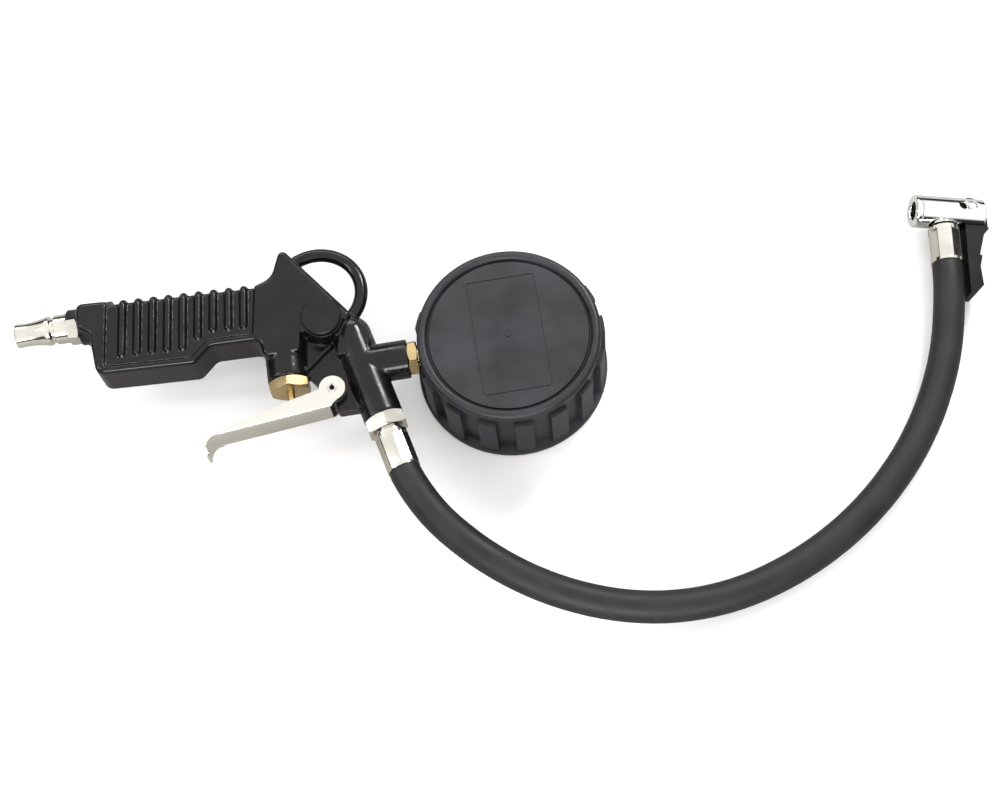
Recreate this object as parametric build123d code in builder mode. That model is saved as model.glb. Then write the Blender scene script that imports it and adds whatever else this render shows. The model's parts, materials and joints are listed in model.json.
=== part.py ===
from build123d import *
from math import atan2, cos, degrees, pi, radians, sin, sqrt, tan
import os

os.makedirs("parts", exist_ok=True)

# A hand tyre inflator with a Bourdon-tube pressure gauge, laid on a bench with the gauge's glass down.
# Origin: centre of the front rim of the gauge's rubber boot. +X runs from the gun along the gauge's
# stem, -Y is the trigger side and the side that the hose leaves on, +Z is up, out of the boot's back.
# Lengths are in millimetres, angles in degrees.

# ---------------------------------------------------------------- driving dimensions
SLIP = 0.05              # radial clearance of a running fit
SEAT = 0.02              # radial clearance of a part that is screwed or pressed home
MID = 29.5               # height of the gun's middle plane and of the gauge's stem

# casting: handle
HANDLE_T = 20.8          # thickness across the two side faces
HANDLE_EDGE_R = 2.4      # rounding of the side faces' edges
GRIP_FACE_DEPTH = 1.2    # how far the ribbed panel is sunk into each side face
RIB_COUNT = 9
RIB_R = 1.75             # radius of a rib's round section
RIB_PITCH = 6.82
RIB_LEAN = 5.0           # lean of the ribs from the Y axis
INLET_Y = 42.1           # centre line of the air inlet

# casting: valve boss, tube to the hose, port to the gauge
VALVE_X = -99.2
VALVE_BOSS_R = 9.5
VALVE_BOSS_END = -2.2
TUBE_R = 8.9
TUBE_LEAN = 12.7         # lean of the hose tube from -Y towards +X
TUBE_END = (-59.8, -26.5)
PORT_R = 8.7
PORT_END = -45.5
PLATE_T = 5.6            # thickness of the stiffening plate between boss and tube
CAP_CENTRE = (-80.7, 21.6)
CAP_R = 9.0

# trigger
PIVOT = (-80.2, -11.3)   # trigger pivot
LEVER_W = 15.0
LEVER_T = 1.4            # sheet thickness
LEVER_PIN_R = 2.0
EAR_R = 5.8

# hose and its fittings
HOSE_R = 7.0
HOSE_BORE_R = 4.0
FERRULE_R = 7.3
FERRULE_LEN = 17.5
BARB_END = 25.0          # end of the hose barbs, measured like the ferrules
FERRULE_START = 8.3      # distance of the gun ferrule from the end of the hose tube

# gauge
BOOT_R = 43.0            # front flange of the boot
BOOT_H = 40.0
BOOT_BLOCKS = 16
CASE_R = 34.8
CASE_BACK = 35.1
PINION_TEETH = 12
SECTOR_RATIO = 6         # pinion turns for one sector turn
GEAR_MODULE = 0.4

# air chuck
CHUCK_CENTRE = (206.4, 37.0, 12.2)
CHUCK_YAW = -8.5         # turn of the chuck's axis from +X, seen from above
CHUCK_ROLL = 12.0        # the mouth is rolled up by this much about the hose's end
CHUCK_R = 7.5
CHUCK_MOUTH = -14.5      # mouth and rear end, measured along the chuck from the hose tail
CHUCK_REAR = 18.7
CAM_PIVOT = (12.5, 1.3)
CAM_LOW = 4.5            # cam radius with the thumb lever folded along the hose
CAM_LIFT = 1.5
CAM_SWING = 80.0         # swing of the thumb lever

# ---------------------------------------------------------------- planes and helpers
TUBE_DIR = Vector(sin(radians(TUBE_LEAN)), -cos(radians(TUBE_LEAN)), 0)
TUBE_ORIGIN = Vector(TUBE_END[0], TUBE_END[1], MID)

chuck_x = Vector(
    cos(radians(CHUCK_YAW)) * cos(radians(CHUCK_ROLL)),
    sin(radians(CHUCK_YAW)) * cos(radians(CHUCK_ROLL)),
    -sin(radians(CHUCK_ROLL)),
)
chuck_y = Vector(-sin(radians(CHUCK_YAW)), cos(radians(CHUCK_YAW)), 0)
CHUCK = Plane(origin=CHUCK_CENTRE, x_dir=chuck_x, z_dir=chuck_x.cross(chuck_y))


def flat(height):
    """Horizontal sketch plane at a height above the gun's middle plane."""
    return Plane.XY.offset(MID + height)


def along_x(x, y=0.0):
    """Sketch plane facing +X, with its origin on the gun's middle plane."""
    return Plane(origin=(x, y, MID), x_dir=(0, 1, 0), z_dir=(1, 0, 0))


def along_y(y, x=VALVE_X):
    """Sketch plane facing +Y, with its origin on the gun's middle plane."""
    return Plane(origin=(x, y, MID), x_dir=(-1, 0, 0), z_dir=(0, 1, 0))


def down_tube(distance):
    """Sketch plane across the hose tube, a distance past the tube's end, facing the hose."""
    return Plane(origin=TUBE_ORIGIN + TUBE_DIR * distance, x_dir=(0, 0, 1), z_dir=TUBE_DIR)


def chuck_level(height):
    """Sketch plane parallel to the chuck's own middle plane."""
    return CHUCK.offset(height)


def along_chuck(distance):
    """Sketch plane across the chuck, facing its rear end."""
    return Plane(origin=CHUCK.from_local_coords((distance, 0, 0)), x_dir=chuck_y, z_dir=chuck_x)


def down_tail(distance):
    """Sketch plane across the chuck's hose tail, a distance down it, facing the hose."""
    return Plane(origin=CHUCK.from_local_coords((0, -distance, 0)), x_dir=CHUCK.z_dir, z_dir=-chuck_y)


def rod(plane, radius, length, mode=Mode.ADD):
    """Round bar standing on a plane, joined to the part being built."""
    with BuildSketch(plane) as section:
        Circle(radius)
    extrude(section.sketch, amount=length, mode=mode)


def ring(plane, outer, inner, length, mode=Mode.ADD):
    """Tube standing on a plane, joined to the part being built."""
    with BuildSketch(plane) as section:
        Circle(outer)
        Circle(inner, mode=Mode.SUBTRACT)
    extrude(section.sketch, amount=length, mode=mode)


def turn(plane, *profile, mode=Mode.ADD):
    """Turned shape on a plane's normal, from (radius, height) points."""
    side = Plane(origin=plane.origin, x_dir=plane.x_dir, z_dir=plane.x_dir.cross(plane.z_dir))
    with BuildSketch(side) as section:
        with BuildLine():
            Polyline(*profile, close=True)
        make_face()
    revolve(section.sketch, axis=Axis(plane.origin, plane.z_dir), mode=mode)


def slab(plane, thickness, outline, mode=Mode.ADD):
    """Plate centred on a plane; its outline is a list of (x, y, corner radius)."""
    corners = [(x, y) for x, y, radius in outline]
    radii = [radius for x, y, radius in outline]
    with BuildSketch(plane) as section:
        with BuildLine():
            FilletPolyline(*corners, radius=radii, close=True)
        make_face()
    extrude(section.sketch, amount=thickness / 2, both=True, mode=mode)


def hex_bar(plane, across_flats, length, rotation=0.0):
    """Hexagonal bar with the corners of both ends turned down."""
    flat_r = across_flats / 2
    corner_r = across_flats / sqrt(3)
    bevel = (corner_r - flat_r) * tan(radians(30))
    with BuildPart() as bar:
        turn(
            plane,
            (0, 0),
            (flat_r, 0),
            (corner_r, bevel),
            (corner_r, length - bevel),
            (flat_r, length),
            (0, length),
        )
        with BuildSketch(plane):
            RegularPolygon(corner_r, 6, rotation=rotation)
        extrude(amount=length, mode=Mode.INTERSECT)
    add(bar.part)


# ---------------------------------------------------------------- gun body: a zinc casting
half_t = HANDLE_T / 2
GRIP_HALF_T = half_t - GRIP_FACE_DEPTH

# inlet block, handle, thumb guard and head: (x, y, corner radius)
CORE_OUTLINE = [
    (-190.0, 49.0, 3.0),
    (-190.0, 36.5, 2.6),
    (-184.9, 33.0, 1.0),
    (-182.8, 12.7, 4.5),
    (-138.9, 10.2, 4.0),
    (-131.2, 17.4, 4.0),
    (-108.7, 16.6, 4.5),
    (-108.7, 8.0, 2.8),
    (-91.5, 8.0, 2.8),
    (-90.0, 17.0, 2.0),
    (-77.0, 17.0, 3.0),
    (-66.0, 20.4, 3.0),
    (-95.6, 61.2, 2.5),
    (-101.2, 46.3, 8.0),
    (-110.0, 43.2, 3.0),
]
# ribbed panel, open at the top of the handle
PANEL_OUTLINE = [
    (-174.9, 60.0, 0),
    (-178.9, 15.4, 1.0),
    (-139.9, 12.9, 1.0),
    (-132.3, 20.0, 1.0),
    (-111.7, 19.4, 1.0),
    (-108.9, 41.0, 0),
    (-108.9, 60.0, 0),
]
# the thinner wall that carries the ribs reaches a little way into the solid around it
GRIP_OUTLINE = [
    (-176.4, 46.7, 0),
    (-180.1, 14.4, 0),
    (-139.4, 11.9, 0),
    (-131.8, 19.0, 0),
    (-110.0, 18.4, 0),
    (-107.4, 43.1, 0),
]
RIB_FIRST_X = -168.3     # crown of the first rib
RIB_FIRST_Y = 48.0
RIB_CROWN_SLOPE = tan(radians(-3.0))
LONG_RIBS = 5            # ribs that reach down into the deep part of the handle
LONG_RIB_FOOT = 18.7
STEP_RIB_FOOT = 21.2
SHORT_RIB_FOOT = 23.6
FOOT_STEP = -0.4         # change of height from one rib's foot to the next

LOOP_CENTRE = (-81.7, 38.8)
LOOP_RADIUS = 19.5
LOOP_SECTION_R = 3.0

VALVE_BORE_R = 6.0
CHAMBER_R = 5.0
CHAMBER_START = 10.0     # end of the gland nut's thread
CHAMBER_END = 37.0
PASSAGE_Y = 17.5         # outlet passage from the valve to the tube
TUBE_BORE_R = 3.5
TUBE_THREAD_R = 5.6
TUBE_THREAD_DEPTH = 10.0
PORT_THREAD_R = 4.9
PORT_THREAD_DEPTH = 10.0
INLET_THREAD_R = 5.6
INLET_FACE = -190.4
INLET_THREAD_DEPTH = 11.0
INLET_BOSS_R = 9.0
CAP_THREAD_R = 6.0
CAP_BOSS_H = 10.6
TUBE_TOP = 43.0          # length of the hose tube, up to its rounded upper end
PORT_START = -64.0
PORT_BORE_R = 3.0
AIR_PASSAGE_R = 3.6
OUTLET_PASSAGE_R = 2.8
OUTLET_PASSAGE_LEN = 29.5
LUG_R = 4.6              # round lug that holds the trigger's pin
LUG_T = 11.8
WEB_T = 15.8             # web between the head and the hose tube
BOSS_EDGE_R = 1.2


def rib_foot(index):
    """Height of a rib's lower end."""
    if index < LONG_RIBS:
        return LONG_RIB_FOOT + FOOT_STEP * index
    if index == LONG_RIBS:
        return STEP_RIB_FOOT
    return SHORT_RIB_FOOT + FOOT_STEP * (index - LONG_RIBS - 1)


def grip_wall():
    """The thinner wall of the handle that carries the ribs, its top edges rounded."""
    with BuildPart() as wall:
        slab(flat(0), 2 * GRIP_HALF_T, GRIP_OUTLINE)
        top_face = wall.faces().sort_by(Axis.Y)[-1]
        long_edges = top_face.edges().filter_by(lambda edge: edge.length > LOOP_RADIUS)
        fillet(long_edges, HANDLE_EDGE_R)
    add(wall.part)


def rib(index):
    """One grip rib: a half-sunk round bar up one side face, over the top and down the other."""
    lean = radians(RIB_LEAN)
    up_rib = Vector(sin(lean), cos(lean), 0)
    crown_y = RIB_FIRST_Y + RIB_CROWN_SLOPE * RIB_PITCH * index
    crown = Vector(RIB_FIRST_X + RIB_PITCH * index, crown_y, MID)
    side = Plane(origin=crown, x_dir=up_rib, z_dir=up_rib.cross(Vector(0, 0, 1)))
    foot = (rib_foot(index) + RIB_R - crown_y) / cos(lean)
    with BuildLine(side) as path:
        FilletPolyline(
            (foot, -GRIP_HALF_T),
            (-RIB_R, -GRIP_HALF_T),
            (-RIB_R, GRIP_HALF_T),
            (foot, GRIP_HALF_T),
            radius=HANDLE_EDGE_R + 0.2,
        )
    wire = path.wire()
    with BuildSketch(Plane(origin=wire @ 0, z_dir=wire % 0)) as section:
        Circle(RIB_R)
    sweep(section.sketch, path=wire)
    with Locations(wire @ 0, wire @ 1):
        Sphere(RIB_R)


def hanging_loop():
    """Round-section loop cast onto the thumb guard's back."""
    with BuildLine(flat(0)) as path:
        CenterArc(LOOP_CENTRE, LOOP_RADIUS, -50, 175)
    wire = path.wire()
    with BuildSketch(Plane(origin=wire @ 0, z_dir=wire % 0)) as section:
        Circle(LOOP_SECTION_R)
    sweep(section.sketch, path=wire)


def cap_level(height):
    """Sketch plane on the cap's centre line, a height above the gun's middle plane."""
    return Plane(origin=(CAP_CENTRE[0], CAP_CENTRE[1], MID + height))


def at_pivot(height):
    """Sketch plane on the trigger's pivot, a height above the gun's middle plane."""
    return Plane(origin=(PIVOT[0], PIVOT[1], MID + height))


with BuildPart() as gun_body:
    slab(flat(0), HANDLE_T, CORE_OUTLINE)
    fillet(gun_body.faces().filter_by(Axis.Z).edges(), HANDLE_EDGE_R)
    slab(flat(0), HANDLE_T + 2, PANEL_OUTLINE, mode=Mode.SUBTRACT)
    grip_wall()
    for index in range(RIB_COUNT):
        rib(index)
    hanging_loop()

    # air inlet boss behind the handle
    rod(along_x(INLET_FACE, INLET_Y), INLET_BOSS_R, 16)

    # valve boss, with its end edge rounded
    rod(along_y(VALVE_BOSS_END), VALVE_BOSS_R, 24)
    fillet(gun_body.edges().filter_by(GeomType.CIRCLE).sort_by(Axis.Y)[0], BOSS_EDGE_R)

    # hose tube, rounded at its upper end, and gauge port
    rod(down_tube(-TUBE_TOP), TUBE_R, TUBE_TOP)
    with Locations(down_tube(-TUBE_TOP).origin):
        Sphere(TUBE_R)
    rod(along_x(PORT_START), PORT_R, PORT_END - PORT_START)

    # stiffening plate, its diagonal rib and the trigger's lug
    slab(
        flat(0),
        PLATE_T,
        [
            (-93.0, 20.0, 0),
            (-71.0, 20.0, 0),
            (-61.0, -21.6, 0),
            (-79.2, -21.6, 1.5),
            (-80.6, -14.0, 0),
            (-85.2, -9.0, 2.0),
            (-91.0, -0.8, 0),
        ],
    )
    slab(flat(0), 2 * PLATE_T, [(-79.0, 11.4, 0), (-91.0, 1.4, 0), (-89.8, -0.1, 0), (-77.8, 9.9, 0)])
    rod(at_pivot(-LUG_T / 2), LUG_R, LUG_T)

    # web that fills the corner between the head and the hose tube
    slab(
        flat(0),
        WEB_T,
        [(-74.0, 24.5, 0), (-66.6, 21.0, 1.5), (-60.4, 13.0, 0), (-62.0, 4.0, 0), (-76.0, 4.0, 0)],
    )

    # round side boss that the cap closes
    rod(cap_level(-half_t + 1), CAP_R + 0.4, half_t - 1 + CAP_BOSS_H)

    # bores: air inlet, sloping air passage, valve, outlet passage, tube, port, side boss, pivot
    rod(along_x(INLET_FACE, INLET_Y), INLET_THREAD_R, INLET_THREAD_DEPTH, mode=Mode.SUBTRACT)
    passage_start = Vector(INLET_FACE + INLET_THREAD_DEPTH - 1, INLET_Y, MID)
    passage_end = Vector(VALVE_X, CHAMBER_END - CHAMBER_R, MID)
    passage = passage_end - passage_start
    rod(Plane(origin=passage_start, z_dir=passage), AIR_PASSAGE_R, passage.length, mode=Mode.SUBTRACT)
    rod(along_y(VALVE_BOSS_END), VALVE_BORE_R, CHAMBER_START - VALVE_BOSS_END, mode=Mode.SUBTRACT)
    rod(along_y(VALVE_BOSS_END), CHAMBER_R, CHAMBER_END - VALVE_BOSS_END, mode=Mode.SUBTRACT)
    rod(along_x(VALVE_X, PASSAGE_Y), OUTLET_PASSAGE_R, OUTLET_PASSAGE_LEN, mode=Mode.SUBTRACT)
    rod(down_tube(-TUBE_TOP - 2), TUBE_BORE_R, TUBE_TOP + 2, mode=Mode.SUBTRACT)
    rod(down_tube(-TUBE_THREAD_DEPTH), TUBE_THREAD_R, TUBE_THREAD_DEPTH, mode=Mode.SUBTRACT)
    rod(along_x(PORT_START - 1), PORT_BORE_R, PORT_END - PORT_START + 1, mode=Mode.SUBTRACT)
    rod(along_x(PORT_END - PORT_THREAD_DEPTH), PORT_THREAD_R, PORT_THREAD_DEPTH, mode=Mode.SUBTRACT)
    rod(cap_level(0), CAP_THREAD_R, 2 * half_t, mode=Mode.SUBTRACT)
    rod(at_pivot(-half_t), LEVER_PIN_R + SEAT, 2 * half_t, mode=Mode.SUBTRACT)

gun_body.part.label = "gun_body"
export_step(gun_body.part, "parts/gun_body.step")

# ---------------------------------------------------------------- round cap of the side boss
CAP_TOP = 13.5
CAP_UNDER = 11.3         # underside of the cap's head
CAP_NECK_R = 6.4

with BuildPart() as boss_cap:
    turn(
        cap_level(0),
        (0, 4.0),
        (CAP_THREAD_R - SEAT, 4.0),
        (CAP_THREAD_R - SEAT, CAP_BOSS_H),
        (CAP_NECK_R, CAP_BOSS_H + 0.1),
        (CAP_NECK_R, CAP_UNDER),
        (CAP_R, CAP_UNDER),
        (CAP_R, CAP_TOP - 0.6),
        (CAP_R - 0.6, CAP_TOP),
        (0, CAP_TOP),
    )
boss_cap.part.label = "boss_cap"
export_step(boss_cap.part, "parts/boss_cap.step")

with BuildPart() as boss_cap_seal:
    ring(cap_level(CAP_BOSS_H + 0.12), CAP_R - 0.8, CAP_NECK_R + SEAT, CAP_UNDER - CAP_BOSS_H - 0.14)
boss_cap_seal.part.label = "boss_cap_seal"
export_step(boss_cap_seal.part, "parts/boss_cap_seal.step")

# ---------------------------------------------------------------- air inlet plug: half of a quick coupler
PLUG_TIP = -219.4
PLUG_BORE_R = 2.6
PLUG_NOSE_R = 5.6
PLUG_HEX = 14.0
PLUG_HEX_START = -195.6


def plug_height(x):
    """Distance of a point from the plug's tip."""
    return x - PLUG_TIP


with BuildPart() as inlet_plug:
    tip = along_x(PLUG_TIP, INLET_Y)
    side = Plane(origin=tip.origin, x_dir=tip.x_dir, z_dir=tip.x_dir.cross(tip.z_dir))
    with BuildSketch(side):
        with BuildLine():
            Polyline((0, 0), (PLUG_NOSE_R - 0.4, 0), (PLUG_NOSE_R, 0.5))
            ThreePointArc((PLUG_NOSE_R, 0.5), (PLUG_NOSE_R - 0.1, 8.0), (6.6, plug_height(-205.4)))
            Polyline(
                (6.6, plug_height(-205.4)),
                (6.65, plug_height(-204.9)),
                (6.65, plug_height(-203.8)),
                (5.7, plug_height(-202.6)),
                (5.7, plug_height(-201.9)),
                (6.7, plug_height(-201.1)),
                (6.7, plug_height(PLUG_HEX_START)),
                (0, plug_height(PLUG_HEX_START)),
                (0, 0),
            )
        make_face()
    revolve(axis=Axis(tip.origin, tip.z_dir))
    hex_bar(along_x(PLUG_HEX_START, INLET_Y), PLUG_HEX, INLET_FACE - PLUG_HEX_START - SEAT, rotation=30)
    rod(along_x(INLET_FACE - SEAT, INLET_Y), INLET_THREAD_R - SEAT, INLET_THREAD_DEPTH - 1)
    rod(along_x(PLUG_TIP, INLET_Y), PLUG_BORE_R, 45, mode=Mode.SUBTRACT)
inlet_plug.part.label = "inlet_plug"
export_step(inlet_plug.part, "parts/inlet_plug.step")

# ---------------------------------------------------------------- trigger: a pressed sheet channel
# The bottom of the channel is the straight strip that pushes the valve stem.
STRIP_RIGHT = (-82.2, -19.62)
STRIP_LEFT = (-132.2, -24.4)
STRIP_SLOPE = (STRIP_RIGHT[1] - STRIP_LEFT[1]) / (STRIP_RIGHT[0] - STRIP_LEFT[0])
STRIP_RISE = LEVER_T * sqrt(1 + STRIP_SLOPE**2)
CURL_R = 6.6


def strip_inside(x):
    """Height of the strip's inner face, the one that the valve stem rests on."""
    return STRIP_RIGHT[1] + STRIP_SLOPE * (x - STRIP_RIGHT[0]) + STRIP_RISE


with BuildPart() as trigger_lever:
    slab(
        flat(0),
        LEVER_W,
        [
            (-84.2, -10.2, 0),
            (-86.6, -11.2, 0),
            (-99.0, -13.9, 0),
            (-125.1, -21.1, 0),
            (-131.6, strip_inside(-131.6), 0),
            (STRIP_LEFT[0], STRIP_LEFT[1], 0),
            (STRIP_RIGHT[0], STRIP_RIGHT[1], 0),
            (-75.8, -14.9, 0),
            (-78.0, -9.0, 0),
        ],
    )
    rod(at_pivot(-LEVER_W / 2), EAR_R, LEVER_W)
    long_edges = trigger_lever.edges().filter_by(lambda edge: edge.length > 2 * LEVER_W)
    strip_edges = long_edges.filter_by(lambda edge: edge.center().Y < STRIP_RIGHT[1])
    fillet(strip_edges, 1.8)
    slab(
        flat(0),
        LEVER_W - 2 * LEVER_T,
        [
            (-134.0, strip_inside(-134.0), 0),
            (STRIP_RIGHT[0] + 0.01, strip_inside(STRIP_RIGHT[0]), 0),
            (STRIP_RIGHT[0] + 0.01, -30.0, 0),
            (-60.0, -30.0, 0),
            (-60.0, 5.0, 0),
            (-134.0, 5.0, 0),
        ],
        mode=Mode.SUBTRACT,
    )
    # finger curl at the far end
    curl_centre = (-132.3, strip_inside(-132.3) - CURL_R)
    with BuildSketch(flat(-LEVER_W / 2)):
        with BuildLine():
            outer = CenterArc(curl_centre, CURL_R, 86, 120)
            inner = CenterArc(curl_centre, CURL_R - LEVER_T, 86, 120)
            Line(outer @ 0, inner @ 0)
            Line(outer @ 1, inner @ 1)
        make_face()
    extrude(amount=LEVER_W)
    fingertip = trigger_lever.edges().filter_by(lambda edge: abs(edge.length - LEVER_T) < SEAT)
    chamfer(fingertip.sort_by(Axis.X)[:2], 3.0)
    rod(at_pivot(-LEVER_W), LEVER_PIN_R + SLIP, 2 * LEVER_W, mode=Mode.SUBTRACT)
trigger_lever.part.label = "trigger_lever"
export_step(trigger_lever.part, "parts/trigger_lever.step")

# slotted spring pin, held in the casting's lug
PIN_LEN = LEVER_W + 0.8
with BuildPart() as trigger_pin:
    ring(at_pivot(-PIN_LEN / 2), LEVER_PIN_R, 1.15, PIN_LEN)
    with BuildSketch(at_pivot(-PIN_LEN / 2)) as slot:
        with Locations((0, LEVER_PIN_R)):
            Rectangle(0.7, 2 * LEVER_PIN_R)
    extrude(slot.sketch, amount=PIN_LEN, mode=Mode.SUBTRACT)
trigger_pin.part.label = "trigger_pin"
export_step(trigger_pin.part, "parts/trigger_pin.step")

# ---------------------------------------------------------------- trigger valve
STEM_R = 1.8
STEM_GAP = 0.15          # slack between the stem and the trigger
STEM_TIP = strip_inside(VALVE_X) + STEM_GAP
NUT_HEX = 17.0
NUT_END = -7.0
O_RING_START = 1.5
O_RING_W = 2.2
SEAT_START = 20.5
SEAT_T = 3.0
SEAT_BORE_R = 2.9
SEAL_T = 1.2
HEAD_START = SEAT_START + SEAT_T + 0.05 + SEAL_T
HEAD_T = 2.2
HEAD_R = 4.2

with BuildPart() as valve_gland_nut:
    hex_bar(along_y(NUT_END), NUT_HEX, VALVE_BOSS_END - NUT_END - SEAT, rotation=30)
    rod(along_y(VALVE_BOSS_END - SEAT), VALVE_BORE_R - SEAT, CHAMBER_START - VALVE_BOSS_END)
    rod(along_y(NUT_END), STEM_R + SLIP, 30, mode=Mode.SUBTRACT)
    rod(along_y(O_RING_START), 3.6, O_RING_W, mode=Mode.SUBTRACT)
valve_gland_nut.part.label = "valve_gland_nut"
export_step(valve_gland_nut.part, "parts/valve_gland_nut.step")

with BuildPart() as gland_o_ring:
    ring(along_y(O_RING_START + 0.1), 3.55, STEM_R + SLIP, O_RING_W - 0.2)
    fillet(gland_o_ring.edges().filter_by(GeomType.CIRCLE), 0.7)
gland_o_ring.part.label = "gland_o_ring"
export_step(gland_o_ring.part, "parts/gland_o_ring.step")

with BuildPart() as valve_seat:
    ring(along_y(SEAT_START), CHAMBER_R - SEAT, SEAT_BORE_R, SEAT_T)
valve_seat.part.label = "valve_seat"
export_step(valve_seat.part, "parts/valve_seat.step")

with BuildPart() as valve_stem:
    rod(along_y(STEM_TIP), STEM_R, HEAD_START - STEM_TIP)
    rod(along_y(HEAD_START), HEAD_R, HEAD_T)
    rod(along_y(HEAD_START + HEAD_T), 2.2, 1.5)
    fillet(valve_stem.edges().sort_by(Axis.Y)[0], 1.2)
valve_stem.part.label = "valve_stem"
export_step(valve_stem.part, "parts/valve_stem.step")

with BuildPart() as valve_seal:
    ring(along_y(HEAD_START - SEAL_T), HEAD_R - 0.2, STEM_R + SEAT, SEAL_T - SEAT)
valve_seal.part.label = "valve_seal"
export_step(valve_seal.part, "parts/valve_seal.step")

SPRING_R = 3.2
SPRING_WIRE_R = 0.4
SPRING_START = HEAD_START + HEAD_T + SPRING_WIRE_R + SEAT
SPRING_LEN = CHAMBER_END - SPRING_START - 2 * SPRING_WIRE_R
with BuildPart() as valve_spring:
    with BuildLine() as coil:
        Helix(
            pitch=SPRING_LEN / 4.5,
            height=SPRING_LEN,
            radius=SPRING_R,
            center=(VALVE_X, SPRING_START, MID),
            direction=(0, 1, 0),
        )
    with BuildSketch(Plane(origin=coil.line @ 0, z_dir=coil.line % 0)):
        Circle(SPRING_WIRE_R)
    sweep(path=coil.line)
valve_spring.part.label = "valve_spring"
export_step(valve_spring.part, "parts/valve_spring.step")

# ---------------------------------------------------------------- gauge: rubber boot
BOOT_R_BACK = 39.4       # plain wall behind the flange
BLOCK_R = 42.4
BLOCK_START = 3.4
BLOCK_END = 33.2
BEAD_R = 40.7            # round bead on the rim of the back
BEAD_INNER_R = 36.3
BEAD_OUTER_ROUND = 2.2
BEAD_INNER_ROUND = 1.9
GROOVE_DEPTH = 1.1
PLAQUE = (30.8, 55.2)    # outline of a blank plaque on the back
STEM_CLEARANCE_R = 8.6   # room for the stem's hexagon in the boot's side
STEM_CLEARANCE_X = -41.1
BEAD_START = 35.6
BACK_TOP = 38.4
LIP_R = 31.5             # front lip that holds the glass's ring
LIP_T = 2.4
BOOT_INNER_R = CASE_R + 0.2

with BuildPart() as gauge_boot:
    turn(
        Plane.XY,
        (LIP_R, 0),
        (BOOT_R - 1.2, 0),
        (BOOT_R, 1.2),
        (BOOT_R, BLOCK_START),
        (BOOT_R_BACK, 4.2),
        (BOOT_R_BACK, 34.6),
        (BEAD_R, BEAD_START),
        (BEAD_R, BOOT_H),
        (BEAD_INNER_R, BOOT_H),
        (BEAD_INNER_R, BACK_TOP - GROOVE_DEPTH),
        (BEAD_INNER_R - 0.7, BACK_TOP - GROOVE_DEPTH),
        (BEAD_INNER_R - 1.0, BACK_TOP),
        (0, BACK_TOP),
        (0, CASE_BACK + 0.2),
        (BOOT_INNER_R, CASE_BACK + 0.2),
        (BOOT_INNER_R, LIP_T),
        (LIP_R, LIP_T),
    )
    for side, radius in ((-1, BEAD_OUTER_ROUND), (0, BEAD_INNER_ROUND)):
        top_edges = gauge_boot.edges().filter_by(GeomType.CIRCLE).group_by(Axis.Z)[-1]
        fillet(top_edges.sort_by(SortBy.LENGTH)[side], radius)
    # raised blocks around the wall
    with BuildSketch(Plane.XY.offset(BLOCK_START)) as blocks:
        with PolarLocations(BOOT_R_BACK, BOOT_BLOCKS):
            Rectangle(8, 2 * BLOCK_R * sin(pi / BOOT_BLOCKS / 2))
        Circle(BLOCK_R, mode=Mode.INTERSECT)
        Circle(BOOT_R_BACK - 1, mode=Mode.SUBTRACT)
    extrude(blocks.sketch, amount=BLOCK_END - BLOCK_START)
    # opening for the stem, outline of a plaque and centre pip on the back
    rod(along_x(-BOOT_R - 1), 4.4, 15, mode=Mode.SUBTRACT)
    rod(along_x(-BOOT_R - 1), STEM_CLEARANCE_R, STEM_CLEARANCE_X + BOOT_R + 1, mode=Mode.SUBTRACT)
    with BuildSketch(Plane.XY.offset(BACK_TOP)) as plaque:
        RectangleRounded(PLAQUE[0], PLAQUE[1], 1.5)
        RectangleRounded(PLAQUE[0] - 1, PLAQUE[1] - 1, 1.2, mode=Mode.SUBTRACT)
    extrude(plaque.sketch, amount=-0.3, mode=Mode.SUBTRACT)
    rod(Plane.XY.offset(BACK_TOP), 1.3, 0.4)
gauge_boot.part.label = "gauge_boot"
export_step(gauge_boot.part, "parts/gauge_boot.step")

# ---------------------------------------------------------------- gauge: case, glass and dial
CASE_WALL = 0.9
CASE_FRONT = 4.75
NECK_HOLE_R = 4.2

with BuildPart() as gauge_case:
    rod(Plane.XY.offset(CASE_FRONT), CASE_R, CASE_BACK - CASE_FRONT)
    fillet(gauge_case.edges().group_by(Axis.Z)[-1], 1.5)
    inner_depth = CASE_BACK - CASE_WALL - CASE_FRONT
    rod(Plane.XY.offset(CASE_FRONT), CASE_R - CASE_WALL, inner_depth, mode=Mode.SUBTRACT)
    rod(along_x(-CASE_R - 5), NECK_HOLE_R, 10, mode=Mode.SUBTRACT)
gauge_case.part.label = "gauge_case"
export_step(gauge_case.part, "parts/gauge_case.step")

with BuildPart() as lens_ring:
    ring(Plane.XY.offset(2.7), CASE_R, 31.8, 2.0)
    ring(Plane.XY.offset(4.7), CASE_R - CASE_WALL - 0.1, 32.9, 1.8)
lens_ring.part.label = "lens_ring"
export_step(lens_ring.part, "parts/lens_ring.step")

with BuildPart() as gauge_lens:
    rod(Plane.XY.offset(4.72), 32.85, 2.0)
gauge_lens.part.label = "gauge_lens"
export_step(gauge_lens.part, "parts/gauge_lens.step")

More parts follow.
